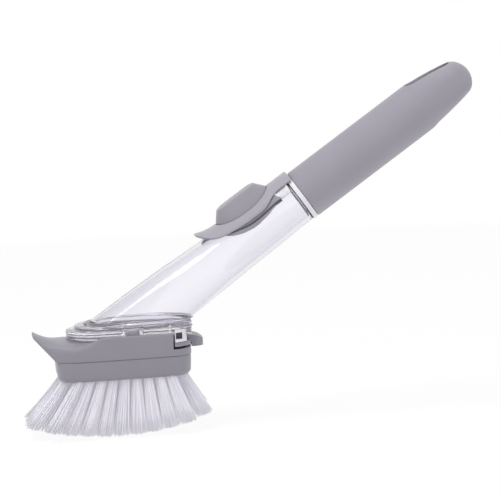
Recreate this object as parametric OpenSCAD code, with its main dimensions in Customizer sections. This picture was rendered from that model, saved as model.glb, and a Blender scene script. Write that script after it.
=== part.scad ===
// Soap dispensing dish wand: a clear reservoir between a screw-on handle and a clip-on brush head.
// The head stands level on its bristle tips. +X runs from the scraper to the handle, +Z is up.
// The origin is the middle of the bristle tips.

/* [Layout] */
// Tilt of the reservoir and handle over the brush head, degrees
tilt = 33.7; // [28:0.1:40]
// Distance from the middle of the bristle tips back to the handle's front end
neck_x = 112.6; // [104:0.1:122]
// Height of the handle's front end over the bristle tips
neck_z = 127.4; // [119:0.1:137]

/* [Brush head] */
// Length of the head along X, without the scraper
head_l = 77; // [72:0.5:84]
// Width of the head
head_w = 50; // [48:0.5:56]
// Corner radius of the head in plan
head_corner_r = 13; // [9:0.5:15]
// How far the middle of the head lies behind the middle of the bristle tips
head_x = 4.7; // [2:0.1:8]
// How far the long sides bulge out at the middle
side_bulge = 1.6; // [0.5:0.1:3]
// Height of the tufted block
block_h = 12.4; // [11.5:0.1:16]
// Radius of the block's lower edge
block_edge_r = 3; // [1:0.25:4]
// Thickness of the block's tufted floor
block_floor = 7.6; // [7.2:0.1:9]
// Height of the carrier that takes the reservoir's foot
carrier_h = 13; // [12.5:0.1:15]
// Wall of the carrier and of the block
head_wall = 2.6; // [2:0.1:3.5]
// Depth of the tray that the foot sits in
tray_d = 2; // [1:0.1:3]
// Thickness of the carrier's deck
deck_t = 1.5; // [1.2:0.1:2]

/* [Scraper] */
// Length of the low front part of the deck, up to where the side walls are full height
scoop_l = 28; // [24:0.5:32]
// Length over which the side walls rise from the deck
scoop_run = 12; // [8:0.5:15]
// Reach of the scraper past the front of the head
scraper_reach = 12; // [8:0.5:15]
// Height of the scraper's tip over the deck
scraper_rise = 4.6; // [3:0.1:6]
// Width of the scraper's tip
scraper_tip_w = 18; // [12:0.5:24]
// Thickness of the scraper's tip
scraper_tip_t = 2.4; // [1.6:0.1:3.2]

/* [Bristles] */
// Free length of the middle bristles
bristle_h = 30.9; // [26:0.1:36]
// Tufts along the head
tufts_long = 11; // [9:2:11]
// Pitch of the tuft holes along the head
tuft_pitch_x = 6.35; // [5.6:0.05:6.6]
// Pitch of the tuft holes across the head
tuft_pitch_y = 6.3; // [5.4:0.05:6.4]
// Pitch of the tips along the head, where the tufts have fanned out
tip_pitch_x = 9.65; // [9.2:0.05:10.4]
// Pitch of the tips across the head
tip_pitch_y = 9.6; // [9.2:0.05:10.2]
// Diameter of a tuft hole
tuft_hole_d = 4; // [3.4:0.1:4.4]
// Diameter of a tuft at its tips
tuft_tip_d = 8.4; // [7:0.1:8.6]
// Depth of a tuft hole
tuft_hole_depth = 6; // [4:0.1:6.4]
// How much higher the tips end at the two ends of the head
tip_crown = 6; // [0:0.25:8]
// Thickness of the metal anchor that holds each folded tuft
anchor_t = 0.3; // [0.2:0.05:0.5]
// Height of the metal anchor
anchor_h = 1.6; // [1:0.1:2.2]

/* [Reservoir] */
// Outer radius of the tube at its neck
tube_neck_r = 14.3; // [13.8:0.1:14.5]
// Outer radius of the tube at its belly
tube_belly_r = 15.3; // [14.9:0.1:16.5]
// Distance of the belly from the neck
tube_belly_at = 65.2; // [61:0.2:71]
// Drop of the belly's centre under the axis
tube_belly_drop = 0.9; // [0:0.1:1.6]
// Length of the tube's oval base
base_l = 60.2; // [56:0.2:62]
// Width of the tube's oval base
base_w = 34.4; // [32:0.2:36]
// Middle of the oval base along X
base_x = 14.9; // [13:0.1:16]
// Wall of the clear tube
tube_wall = 2.2; // [1.6:0.1:2.6]
// Diameter of the filling mouth in the neck
mouth_d = 17.4; // [14:0.1:18.5]
// Outer diameter of the threaded neck
thread_d = 22.2; // [21.8:0.1:23]
// Length of the threaded neck
thread_l = 11.5; // [9:0.1:14]
// Thickness of the clear ring against the handle
neck_ring_t = 2.7; // [2:0.1:4]

/* [Foot] */
// Thickness of the foot's lower flange
flange_t = 4.5; // [4:0.1:5.5]
// Width of the foot's lower flange
flange_w = 40.4; // [38:0.2:41.2]
// How far the lower flange reaches in front of the oval base
flange_front = 11.6; // [8:0.1:12]
// Thickness of the foot's upper step
step_t = 2.6; // [2:0.1:4]
// Width of the foot's upper step
step_w = 37.2; // [36.4:0.2:38]
// How far the upper step reaches in front of the oval base
step_front = 6.5; // [2:0.1:7.5]
// Middle of the soap outlet along X
outlet_x = 11.05; // [10.8:0.05:11.3]
// Diameter of the outlet hole in the foot
outlet_d = 8.4; // [6:0.1:9]
// Diameter of the valve seat
valve_d = 12.4; // [11:0.1:14]
// Thickness of the valve's flange
valve_t = 1.4; // [1:0.1:1.8]
// Diameter of the drip hole through the head
drip_d = 5; // [3:0.1:6]
// Width of a rail under the foot
rail_w = 2; // [1.6:0.1:2.6]
// Distance of each rail from the middle of the foot
rail_y = 13; // [11:0.1:14]
// How far a rail's lip hooks under the deck
rail_lip = 2.2; // [1.2:0.1:3]

/* [Pump] */
// Middle of the button along the tube, from the handle's front end
button_at = 31.7; // [30.5:0.1:33]
// Length of the button at its base
button_l = 35.6; // [32:0.1:37]
// Width of the button at its base
button_w = 20.4; // [18:0.1:21]
// Length of the button's flat top
button_top_l = 25.3; // [20:0.1:28]
// Width of the button's flat top
button_top_w = 13; // [10:0.1:16]
// Height of the button's top over the axis
button_top_h = 23.3; // [21.5:0.1:25]
// Wall of the button
button_wall = 1.8; // [1.2:0.1:2.4]
// Travel of the button
button_travel = 2.5; // [1.5:0.1:2.8]
// Front end of the bezel, from the handle's front end
bezel_front = 62; // [58.5:0.1:65]
// Rear end of the bezel, from the handle's front end
bezel_rear = 0.4; // [0.3:0.1:2]
// Widest half width of the bezel
bezel_half_w = 13.7; // [13.2:0.1:14.6]
// Half width of the bezel's tail
bezel_tail_half_w = 10.4; // [9:0.1:12]
// Thickness of the bezel
bezel_t = 1.45; // [1.2:0.05:1.8]
// Thickness of the silicone diaphragm
diaphragm_t = 0.6; // [0.4:0.05:0.8]
// Diameter of the diaphragm's plug under the button
plug_d = 9; // [7:0.1:10]
// Rise of the finger lip at the bezel's front
lip_rise = 2.4; // [1:0.1:4]
// Length of the finger lip
lip_l = 13; // [8:0.5:15]

/* [Handle] */
// Outer diameter of the handle
handle_d = 29.6; // [29:0.1:31]
// Length of the handle
handle_l = 119.4; // [110:0.2:130]
// Length of the handle's flattened end
taper_l = 35; // [30:0.5:40]
// Thickness of the handle's very end
handle_end_t = 19; // [16:0.5:22]
// Thickness of the soft grip
grip_t = 2.4; // [1.8:0.1:3]
// Length of the hanging slot
slot_l = 31; // [24:0.5:32]
// Width of the hanging slot
slot_w = 10; // [8:0.5:12]
// Length of handle left behind the hanging slot
slot_end = 7.6; // [6.5:0.1:9]
// Wall of the handle's stiff core
core_wall = 2; // [1.6:0.1:2.6]
// Pitch of the neck thread
thread_pitch = 4; // [3:0.5:5]

/* [Release tab] */
// Length of the open rear corner that the tab fills
tab_l = 10.2; // [9:0.1:11]
// Thickness of the tab's arms
tab_t = 2.2; // [1.8:0.1:2.6]
// Gap under the tab that it bends into
tab_gap = 1.3; // [1.2:0.1:1.8]
// Height of the carrier's rear wall under that gap
rear_wall_h = 4; // [3:0.1:4.5]
// How far the thumb pad sticks out behind the head
pad_reach = 7.6; // [5:0.1:10]
// Width of the thumb pad
pad_w = 16; // [12:0.5:22]
// Height of the thumb pad
pad_h = 6.6; // [5:0.1:8]
// Diameter of the tab's pivot pins
pivot_d = 2; // [1.6:0.1:2.4]
// Swing of the tab when the pad is pressed, degrees
tab_swing = 5; // [3:0.1:5]
// Side of the square window in the foot's latch lug
window = 3.8; // [3:0.1:4.2]

/* [Hidden] */
$fn = 72;
hull_fn = 32;
// rows of tufts across the head, one node for each
tuft_rows = 7;
// clearances
eps = 0.01;
curve_gap = 0.05;
fit_gap = 0.2;
slide_gap = 0.3;
pin_gap = 0.04;
over = 40;
thin = 0.4;

// heights in the head
seam_z = bristle_h + block_h;
rim_z = seam_z + carrier_h;
deck_z = rim_z - tray_d;
cavity_z = deck_z - deck_t;
foot_z = deck_z + fit_gap;
flange_z = foot_z + flange_t;
base_z = flange_z + step_t;
block_top_floor_z = bristle_h + block_floor;
// ends of the head
front_x = head_x - head_l / 2;
rear_x = head_x + head_l / 2;
// radii round the handle's axis
handle_r = handle_d / 2;
collar_r = tube_neck_r + 0.4;
diaphragm_r = collar_r + curve_gap;
diaphragm_out_r = diaphragm_r + diaphragm_t;
bezel_r = diaphragm_out_r + curve_gap;
bezel_out_r = bezel_r + bezel_t;
// places along the handle's axis
ring_x = -fit_gap - neck_ring_t;
groove_w = 0.8;
tube_x = ring_x - groove_w;
shoulder_x = tube_x;
// the base oval's ends
base_front_x = base_x - base_l / 2;
base_rear_x = base_x + base_l / 2;
foot_rear_x = base_rear_x - 1;

// frame of the handle's axis: local x runs up the handle, local z is the upper side
module on_axis() translate([neck_x, 0, neck_z]) rotate([0, -tilt, 0]) children();

// round bar along local x
module bar(x0, x1, r, r_end = 0)
    translate([x0, 0, 0]) rotate([0, 90, 0])
        cylinder(r1 = r, r2 = r_end > 0 ? r_end : r, h = x1 - x0);

// rectangle between two x values with its own corner radius at each end
module round_plan(x0, x1, w, r0, r1) {
    a = min(r0, w / 2 - eps);
    b = min(r1, w / 2 - eps);
    translate([x0 + a, -w / 2]) square([x1 - x0 - a - b, w]);
    translate([x0, a - w / 2]) square([a + eps, w - 2 * a]);
    translate([x1 - b - eps, b - w / 2]) square([b + eps, w - 2 * b]);
    for (s = [-1, 1]) {
        translate([x0 + a, s * (w / 2 - a)]) circle(a);
        translate([x1 - b, s * (w / 2 - b)]) circle(b);
    }
}

// plan of the head, a rounded rectangle with bulged sides
module head_plan(inset = 0) {
    half_w = head_w / 2 - inset;
    r = max(head_corner_r - inset, 1);
    bulge_r = head_l * head_l / (8 * side_bulge);
    intersection() {
        round_plan(front_x + inset, rear_x - inset, head_w - 2 * inset, r, r);
        lens(head_x, half_w, bulge_r);
    }
}

// overlap of two discs of radius r, widest at x
module lens(x, half_w, r)
    intersection_for (s = [-1, 1])
        translate([x, s * (half_w - r)]) circle(r, $fn = 360);

// oval of the reservoir's base, smaller by inset
module base_oval(inset = 0)
    translate([base_x, 0]) scale([(base_l - 2 * inset) / (base_w - 2 * inset), 1])
        circle(base_w / 2 - inset, $fn = 64);

// smooth step from 0 to 1
function smooth(t) = let (u = max(0, min(1, t))) u * u * (3 - 2 * u);

// Brush head

// places of the tufts: column i and row j count from the middle tuft
function column(i) = i - (tufts_long - 1) / 2;
function row(j) = j - (tuft_rows - 1) / 2;
function root_x(i) = head_x + column(i) * tuft_pitch_x;
function root_y(j) = row(j) * tuft_pitch_y;
function tip_x(i) = column(i) * tip_pitch_x;
function tip_y(j) = row(j) * tip_pitch_y;
function tip_z(i) = tip_crown * pow(column(i) * 2 / (tufts_long - 1), 2);
// slope of the trimmed tips along the head, degrees
function tip_slope(i) =
    atan(8 * tip_crown * column(i) / pow(tufts_long - 1, 2) / tip_pitch_x);
// the outer rows leave out their end tufts, and the middle row the one at the drip hole
function has_tuft(i, j) =
    !(abs(row(j)) > 2.5 && abs(column(i)) > 4.5) && !(row(j) == 0 && column(i) == 1);

module at_tufts(rows)
    for (j = rows, i = [0:tufts_long - 1])
        if (has_tuft(i, j)) translate([root_x(i), root_y(j), bristle_h]) children();

module brush_block() color("#918e97") difference() {
    union() {
        difference() {
            hull() {
                translate([0, 0, seam_z - thin]) linear_extrude(thin) head_plan($fn = hull_fn);
                for (k = [0:3])
                    let (a = k * 30, r = block_edge_r)
                        translate([0, 0, bristle_h + r * (1 - cos(a))])
                            linear_extrude(thin) head_plan(1 + r * (1 - sin(a)), $fn = hull_fn);
                translate([0, 0, bristle_h + block_edge_r])
                    linear_extrude(thin) head_plan(0.6, $fn = hull_fn);
            }
            translate([0, 0, block_top_floor_z]) linear_extrude(block_h) head_plan(head_wall + 1);
        }
        translate([outlet_x, 0, block_top_floor_z - 1]) cylinder(d = drip_d + 4, h = 2.5);
        at_pegs() translate([0, 0, block_top_floor_z - 1])
            cylinder(d = peg_d + 3, h = seam_z - block_top_floor_z - 0.5);
    }
    translate([outlet_x, 0, 0]) cylinder(d = drip_d, h = seam_z);
    at_pegs() translate([0, 0, block_top_floor_z]) cylinder(d = peg_d + 2 * curve_gap, h = block_h);
    at_tufts([0:tuft_rows - 1]) translate([0, 0, -eps])
        cylinder(d = tuft_hole_d, h = tuft_hole_depth, $fn = 24);
}

// pegs that join the carrier to the block
peg_d = 4;
peg_front_x = front_x + 0.195 * head_l;
peg_rear_x = rear_x - 0.286 * head_l;
peg_y = head_w / 2 - head_wall - peg_d / 2 - 1.1;
module at_pegs()
    for (x = [peg_front_x, peg_rear_x], s = [-1, 1]) translate([x, s * peg_y, 0]) children();

root_l = 1.8;
module tuft(i, j) {
    root = [root_x(i), root_y(j), bristle_h];
    lean = [tip_x(i), tip_y(j), tip_z(i)] - root + [0, 0, root_l * 0.7];
    reach = norm(lean) + tuft_tip_d;
    spread = (tuft_tip_d - tuft_hole_d) / 2 / norm(lean);
    r0 = tuft_hole_d / 2 - curve_gap;
    difference() {
        union() {
            translate(root) cylinder(r = r0, h = tuft_hole_depth - 0.1, $fn = 24);
            translate(root - [0, 0, root_l]) cylinder(r1 = r0 - 0.5, r2 = r0, h = root_l, $fn = 24);
            translate(root - [0, 0, root_l * 0.7])
                rotate([0, acos(lean[2] / norm(lean)), atan2(lean[1], lean[0])])
                    cylinder(r1 = r0 + 0.2, r2 = r0 + spread * reach, h = reach, $fn = 24);
        }
        // trimmed tips
        translate([tip_x(i), tip_y(j), tip_z(i)]) rotate([0, -tip_slope(i), 0])
            translate([-over / 2, -over / 2, -over]) cube(over);
        translate([root[0], root[1], bristle_h + tuft_hole_depth - anchor_h / 2 - 0.1])
            cube([over / 4, anchor_t + 0.02, anchor_h + 0.02], center = true);
    }
}

module tuft_row(j) color("#d5d3df")
    for (i = [0:tufts_long - 1]) if (has_tuft(i, j)) tuft(i, j);

module tuft_anchors() color("#c9b27c")
    at_tufts([0:tuft_rows - 1]) translate([0, 0, tuft_hole_depth - anchor_h / 2 - 0.1])
        cube([tuft_hole_d + 0.3, anchor_t, anchor_h], center = true);

// top of the carrier seen from the side: a wall that falls to the scoop and rises to the tip
tip_front_x = front_x - scraper_reach;
wall_front_x = front_x + scoop_l;
wall_foot_x = wall_front_x - scoop_run;
scoop_x = front_x + 8;
scoop_z = deck_z + 0.3;
function carrier_top(x) =
    x > wall_foot_x ? scoop_z + (rim_z - scoop_z) * smooth((x - wall_foot_x) / scoop_run)
    : x > scoop_x ? scoop_z
    : scoop_z + scraper_rise * pow((scoop_x - x) / (scoop_x - tip_front_x), 2);

module side_cut(points)
    translate([0, over, 0]) rotate([90, 0, 0]) linear_extrude(2 * over) polygon(points);

// side view of the carrier: top edge, rear, flat underside and the scraper's sloped underside
module carrier_side() {
    rise = [for (k = [0:7]) let (x = tip_front_x + (scoop_x - tip_front_x) * k / 7)
        [x, carrier_top(x)]];
    step = [for (k = [0:6]) let (x = wall_foot_x + scoop_run * k / 6) [x, carrier_top(x)]];
    side_cut(concat(rise, step, [[rear_x + 1, rim_z], [rear_x + 1, seam_z], [front_x, seam_z],
        [tip_front_x, carrier_top(tip_front_x) - scraper_tip_t]]));
}

// plan of the head with the scraper that tapers to its tip
module scraper_plan() {
    head_plan();
    half_w = head_w / 2 - side_bulge;
    polygon([[front_x + 13, -half_w], [front_x + 13, half_w],
        [tip_front_x + 2, scraper_tip_w / 2], [tip_front_x + 2, -scraper_tip_w / 2]]);
    round_plan(tip_front_x, tip_front_x + 9, scraper_tip_w, 3, 1);
}

module carrier_body() intersection() {
    translate([0, 0, seam_z - 1]) linear_extrude(over) scraper_plan();
    carrier_side();
}

// plan of the foot's lower flange, wider by gap
module flange_plan(gap = 0)
    round_plan(base_front_x - flange_front - gap, foot_rear_x, flange_w + 2 * gap, flange_w / 2, 4);

tab_front_x = rear_x - tab_l;
tab_top_z = seam_z + rear_wall_h + tab_gap + tab_t;
pivot_x = tab_front_x - 3.2;
pivot_z = tab_top_z - tab_t / 2;
cheek_y = 18;
cheek_w = 3;

module head_carrier() color("#918f98") difference() {
    union() {
        difference() {
            carrier_body();
            // hollow underside
            translate([0, 0, seam_z - 1]) linear_extrude(cavity_z - seam_z + 1)
                head_plan(head_wall);
            // tray for the foot, open at the rear
            translate([0, 0, deck_z]) linear_extrude(over) {
                flange_plan(slide_gap);
                translate([head_x, -flange_w / 2 - slide_gap])
                    square([head_l, flange_w + 2 * slide_gap]);
            }
            // slots that the rails run in, open at the rear
            for (s = [-1, 1])
                translate([base_front_x - 1, s * rail_y - rail_w / 2 - slide_gap, cavity_z - 1])
                    cube([head_l, rail_w + 2 * slide_gap, deck_t + 2]);
            // open rear over the gap
            translate([tab_front_x, -over, seam_z + rear_wall_h]) cube([over, 2 * over, over]);
        }
        // drip tube down to the block
        translate([outlet_x, 0, block_top_floor_z + 2])
            cylinder(d = drip_d + 3, h = deck_z - block_top_floor_z - 2);
        // pegs into the block
        at_pegs() translate([0, 0, block_top_floor_z + 0.3])
            cylinder(d = peg_d, h = deck_z - block_top_floor_z - 0.3 - deck_t / 2);
        // cheeks for the tab's pivot pins
        for (s = [-1, 1])
            translate([pivot_x - 2.6, s > 0 ? cheek_y : -cheek_y - cheek_w, pivot_z - 2.6])
                cube([tab_front_x - pivot_x + 2.4, cheek_w, cavity_z - pivot_z + 2.7]);
    }
    translate([outlet_x, 0, 0]) cylinder(d = drip_d, h = over * 2);
    translate([outlet_x, 0, deck_z - 1]) cylinder(d1 = drip_d, d2 = drip_d + 4, h = 1 + eps);
    translate([pivot_x, -over, pivot_z]) rotate([-90, 0, 0])
        cylinder(d = pivot_d + 2 * pin_gap, h = 2 * over);
}

module release_tab() color("#8f8f94") difference() {
    union() {
        // arms and rear bar, to the outline of the head
        translate([0, 0, tab_top_z - tab_t]) linear_extrude(tab_t) intersection() {
            head_plan();
            translate([tab_front_x + slide_gap, -over]) square([over, 2 * over]);
        }
        // neck to the pivot
        translate([pivot_x, slide_gap - cheek_y, tab_top_z - tab_t])
            cube([tab_l, 2 * (cheek_y - slide_gap), tab_t]);
        translate([pivot_x, slide_gap - cheek_y, pivot_z]) rotate([-90, 0, 0])
            cylinder(d = tab_t + 0.6, h = 2 * (cheek_y - slide_gap));
        translate([pivot_x, -cheek_y - cheek_w + 0.4, pivot_z]) rotate([-90, 0, 0])
            cylinder(d = pivot_d, h = 2 * (cheek_y + cheek_w - 0.4));
        // catch that stands up into the foot
        translate([rear_x - 5.2, -catch_w / 2, tab_top_z - eps])
            cube([2.6, catch_w, foot_z + catch_d - tab_top_z]);
        // thumb pad with a round end and a rounded top
        intersection() {
            translate([0, 0, tab_top_z - tab_t - 2.6]) linear_extrude(pad_h)
                round_plan(rear_x - 3, rear_x + pad_reach, pad_w, 1, 5);
            translate([rear_x + pad_reach - 8, 0, tab_top_z - tab_t - 9.4]) rotate([90, 0, 0])
                cylinder(r = 13.4, h = pad_w + 2, center = true, $fn = 120);
        }
    }
    // room in front of the pad's lower half for the swing
    translate([rear_x - over + 0.9, -over, tab_top_z - tab_t - over])
        cube([over, 2 * over, over]);
}
catch_w = 12;
catch_d = 0.55;

// Reservoir

// thin disc across the axis, dropped below it
module disc(x, r, drop = 0)
    on_axis() translate([0, 0, -drop]) bar(x - thin, x, r, $fn = 48);

module tube_form(inset, bottom) {
    hull() {
        disc(inset > 0 ? shoulder_x : tube_x, tube_neck_r - inset);
        disc(-tube_belly_at, tube_belly_r - inset, tube_belly_drop);
    }
    hull() {
        disc(-tube_belly_at, tube_belly_r - inset, tube_belly_drop);
        translate([0, 0, bottom]) linear_extrude(thin) base_oval(inset);
    }
}

// leaf-shaped plan of the bezel, seen from above the tube, wider by grow
module leaf(grow = 0) {
    nose_x = -bezel_front - grow;
    half_w = bezel_half_w + grow;
    intersection() {
        round_plan(nose_x, tail_x + 9, 2 * half_w, nose_r + grow, 8);
        lens(-wide_at, half_w, front_flank_r);
        union() {
            translate([nose_x, -over]) square([-wide_at - nose_x, 2 * over]);
            lens(-wide_at, half_w, rear_flank_r);
        }
    }
    translate([tail_x, -bezel_tail_half_w - grow])
        square([-bezel_rear + grow - tail_x, 2 * (bezel_tail_half_w + grow)]);
}
wide_at = 0.48 * bezel_front;
tail_x = -0.33 * bezel_front;
nose_r = bezel_half_w - 0.1;
front_flank_r = 150;
rear_flank_r = 52;

// plan of the button's opening, wider by grow
module button_plan(grow = 0) intersection() {
    end_r = button_w / 2 - 0.4 + grow;
    round_plan(-button_at - button_l / 2 - grow, -button_at + button_l / 2 + grow,
        button_w + 2 * grow, end_r, end_r);
    lens(-button_at, button_w / 2 + grow, button_flank_r);
}
button_flank_r = 60;

module reservoir_tube() color("#e9e8f1", 0.45) difference() {
    union() {
        difference() {
            tube_form(0, base_z);
            tube_form(tube_wall, base_z - thin / 2);
        }
        on_axis() {
            bar(tube_x - 0.3, ring_x + 0.5, tube_neck_r - 1);
            bar(ring_x, -fit_gap, handle_r);
            bar(-fit_gap - 0.5, thread_l, thread_d / 2);
            // raised collar that the diaphragm seals on
            intersection() {
                difference() {
                    bar(-bezel_front - 1, tube_x, collar_r);
                    bar(-bezel_front - 2, 0, tube_neck_r - tube_wall / 2);
                }
                translate([0, 0, 4]) linear_extrude(over) leaf(0.4);
            }
        }
    }
    on_axis() {
        bar(shoulder_x - 3, thread_l + 1, mouth_d / 2);
        bar(shoulder_x - 1, shoulder_x + 4, tube_neck_r - tube_wall - 0.3, mouth_d / 2);
        translate([0, 0, 5.5]) linear_extrude(over) button_plan(1);
    }
}

module reservoir_foot() color("#e4e3ec", 0.5) {
    lug_y = flange_w / 2 - 1;
    difference() {
        union() {
            translate([0, 0, foot_z]) linear_extrude(flange_t) flange_plan();
            translate([0, 0, flange_z - eps]) linear_extrude(step_t)
                round_plan(base_front_x - step_front, foot_rear_x + 0.5, step_w, step_w / 2, 6);
            // rails that hook under the deck
            for (s = [-1, 1]) {
                translate([base_front_x, s * rail_y - rail_w / 2, rail_z])
                    cube([tab_front_x - base_front_x - 4, rail_w, foot_z - rail_z + eps]);
                translate([base_front_x, s > 0 ? rail_y : -rail_y - rail_w / 2 - rail_lip, rail_z])
                    cube([tab_front_x - base_front_x - 4, rail_w / 2 + rail_lip, rail_t]);
            }
            // latch lugs in the open rear corners of the carrier
            translate([0, 0, tab_top_z + slide_gap])
                linear_extrude(flange_z - 1 - tab_top_z - slide_gap) intersection() {
                    head_plan(0.3);
                    translate([tab_front_x + slide_gap, -over]) square([tab_l - 1.6, 2 * over]);
                    for (s = [-1, 1])
                        translate([front_x, s > 0 ? lug_y : -lug_y - over]) square([head_l, over]);
                }
        }
        // floor of the tank
        translate([0, 0, flange_z]) linear_extrude(over) base_oval(tube_wall + 0.4);
        // valve seat and outlet
        translate([outlet_x, 0, foot_z - eps]) cylinder(d = valve_d, h = seat_d + eps);
        translate([outlet_x, 0, foot_z]) cylinder(d = outlet_d, h = over);
        // notch for the tab's catch
        translate([rear_x - 6, -catch_w / 2 - 0.5, foot_z - eps])
            cube([4.4, catch_w + 1, catch_d + 0.4]);
        // square window in each lug
        for (s = [-1, 1])
            translate([tab_front_x + slide_gap + 1, s > 0 ? lug_y + 1 : -lug_y - 1 - over,
                tab_top_z + slide_gap + 1])
                cube([window, over, window]);
    }
    // raised rim round the outlet
    translate([outlet_x, 0, flange_z - eps]) difference() {
        cylinder(d = valve_d + 3, h = 1.2);
        translate([0, 0, -1]) cylinder(d = valve_d, h = 3);
    }
}
slit_l = 0.52 * outlet_d;
rail_t = 1.3;
rail_z = cavity_z - fit_gap - rail_t;
seat_d = 3.2;

module outlet_valve() color("#dcdbe2") translate([outlet_x, 0, foot_z + seat_d - 0.02])
    difference() {
        union() {
            translate([0, 0, -valve_t]) cylinder(d = valve_d - 0.2, h = valve_t);
            translate([0, 0, -valve_t - 1.2]) cylinder(d = outlet_d - 1.6, h = 1.3);
        }
        // dish over the slit
        translate([0, 0, outlet_d - valve_t]) sphere(outlet_d);
        translate([0, 0, -valve_t]) cube([slit_l, 0.12, 2 * valve_t + 2], center = true);
    }

module valve_retainer() color("#d9d8de") translate([outlet_x, 0, foot_z + 0.1]) difference() {
    cylinder(d = valve_d - 2 * curve_gap, h = seat_d - valve_t - 0.15);
    translate([0, 0, -1]) cylinder(d = outlet_d - 1, h = seat_d);
}

// Pump

module pump_diaphragm() color("#7f7c85") on_axis() difference() {
    union() {
        intersection() {
            difference() {
                bar(-bezel_front, -bezel_rear, diaphragm_out_r);
                bar(-bezel_front - 1, 0, diaphragm_r);
            }
            translate([0, 0, 3.2]) linear_extrude(over) intersection() {
                lens(-wide_at, gasket_half_w, gasket_r);
                round_plan(gasket_front_x, gasket_rear_x, 2 * gasket_half_w, 9, 3);
            }
        }
        // plug that the button presses
        translate([-button_at, 0, diaphragm_r])
            cylinder(d = plug_d, h = button_inner_h - button_crown - 0.1 - diaphragm_r);
    }
    translate([-button_at, 0, 0]) cylinder(d = plug_d - 3, h = button_inner_h - 2.6);
}
gasket_front_x = -0.87 * bezel_front;
gasket_rear_x = -0.17 * bezel_front;
gasket_half_w = collar_r + 0.1;
gasket_r = 70;
button_inner_h = button_top_h - button_wall;
button_crown = 0.7;

module pump_bezel() color("#96929c") on_axis() {
    difference() {
        intersection() {
            difference() {
                union() {
                    bar(-bezel_front - 1, -bezel_rear, bezel_out_r);
                    // finger lip at the front
                    translate([-bezel_front - 1, -over / 2, 0]) rotate([90, 0, 0])
                        translate([0, 0, -over]) linear_extrude(over)
                            polygon([[0, 0], [0, bezel_out_r + lip_rise], [3, bezel_out_r + lip_rise],
                                [lip_l, bezel_out_r - 0.2], [lip_l, 0]]);
                }
                bar(-bezel_front - 2, 0, bezel_r);
            }
            translate([0, 0, 4]) linear_extrude(over) leaf();
        }
        translate([0, 0, 4]) linear_extrude(over) button_plan(slide_gap);
    }
}

// button outline, smaller by inset: a plan cut by sloped ends and sloped sides
module button_form(inset) {
    half_l = button_l / 2 - inset;
    half_w = button_w / 2 - inset;
    top_l = button_top_l / 2 - inset / 2;
    top_w = button_top_w / 2 - inset / 2;
    top = button_top_h - inset;
    intersection() {
        linear_extrude(over) button_plan(-inset);
        translate([-button_at, over / 2, 0]) rotate([90, 0, 0]) linear_extrude(over)
            polygon([[-half_l, 0], [half_l, 0], [half_l, bezel_out_r + 0.6 - inset],
                [top_l, top - button_crown], [top_l / 2, top], [-top_l / 2, top],
                [-top_l, top - button_crown], [-half_l, bezel_out_r + 0.6 - inset]]);
        translate([-button_at - over / 2, 0, 0]) rotate([90, 0, 90]) linear_extrude(over)
            polygon([[-half_w, 0], [half_w, 0], [half_w, 14 - inset],
                [top_w, top - button_crown], [top_w / 2, top], [-top_w / 2, top],
                [-top_w, top - button_crown], [-half_w, 14 - inset]]);
    }
}

module push_button() color("#a09ca6") on_axis() difference() {
    button_form(0);
    bar(-bezel_front, 0, bezel_r + 0.45);
    intersection() {
        button_form(button_wall);
        translate([-over * 2, -over, 0]) cube([over * 2, 2 * over, button_inner_h]);
    }
}

// Handle

socket_l = thread_l + 2;
web_t = 2.5;
socket_x = socket_l + web_t;

// handle outline, smaller by inset: a bar flattened top and bottom towards a round end
module handle_form(inset) {
    r = handle_r - inset;
    e = handle_end_t / 2 - inset;
    x_end = handle_l - inset;
    x_flat = handle_l - taper_l;
    end_r = min(e, 8);
    run = taper_l - inset - end_r;
    // starts over the bar, passes its top at x_flat and drops to half the end's thickness
    side = [for (k = [-1, 1, 2, 3, 4, 5, 6, 7, 8]) let (t = k / 8)
        [x_flat + t * run, r - (r - e) * (0.8 * t + 0.2 * pow(max(t, 0), 4))]];
    nose = [for (k = [1:6]) let (a = 90 - 15 * k)
        [x_end - end_r + end_r * cos(a), e - end_r + end_r * sin(a)]];
    upper = concat([[0, r + 1]], side, nose);
    lower = [for (k = [len(upper) - 1:-1:0]) [upper[k][0], -upper[k][1]]];
    intersection() {
        bar(0, handle_l, r);
        translate([0, over / 2, 0]) rotate([90, 0, 0]) linear_extrude(over)
            polygon(concat(upper, lower));
        translate([0, 0, -over / 2]) linear_extrude(over)
            round_plan(-over, x_end, 2 * r, 1, r - 1);
    }
}

// hanging slot, wider all round by grow
module slot_cut(grow = 0)
    translate([0, 0, -over / 2]) linear_extrude(over)
        round_plan(handle_l - slot_end - slot_l - grow, handle_l - slot_end + grow,
            slot_w + 2 * grow, slot_w / 2 + grow, slot_w / 2 + grow);

module handle_grip() color("#a19ea8") on_axis() difference() {
    handle_form(0);
    difference() {
        union() {
            handle_form(grip_t);
            bar(-1, 1, handle_r - grip_t);
        }
        slot_cut(grip_t / 2);
    }
    slot_cut();
}

module handle_core() color("#c4c2c8") on_axis() difference() {
    intersection() {
        handle_form(grip_t + curve_gap);
        bar(socket_x + 0.05, handle_l, handle_r);
    }
    slot_cut(grip_t / 2 + curve_gap);
    bar(socket_x - 1, handle_l - slot_end - slot_l - 6, handle_r - grip_t - core_wall);
}

module handle_socket() color("#c4c2c8") on_axis() difference() {
    union() {
        bar(0, socket_x, handle_r - grip_t - curve_gap);
        bar(socket_x - eps, socket_x + 6, handle_r - grip_t - core_wall - curve_gap);
    }
    bar(-1, socket_l, thread_d / 2 + curve_gap);
    bar(socket_x, socket_x + 7, handle_r - grip_t - 2 * core_wall);
}

module neck_seal() color("#6d6a72") on_axis() difference() {
    bar(thread_l + 0.1, socket_l - 0.1, thread_d / 2 - 0.1);
    bar(thread_l - 1, socket_l + 1, mouth_d / 2);
}

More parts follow.
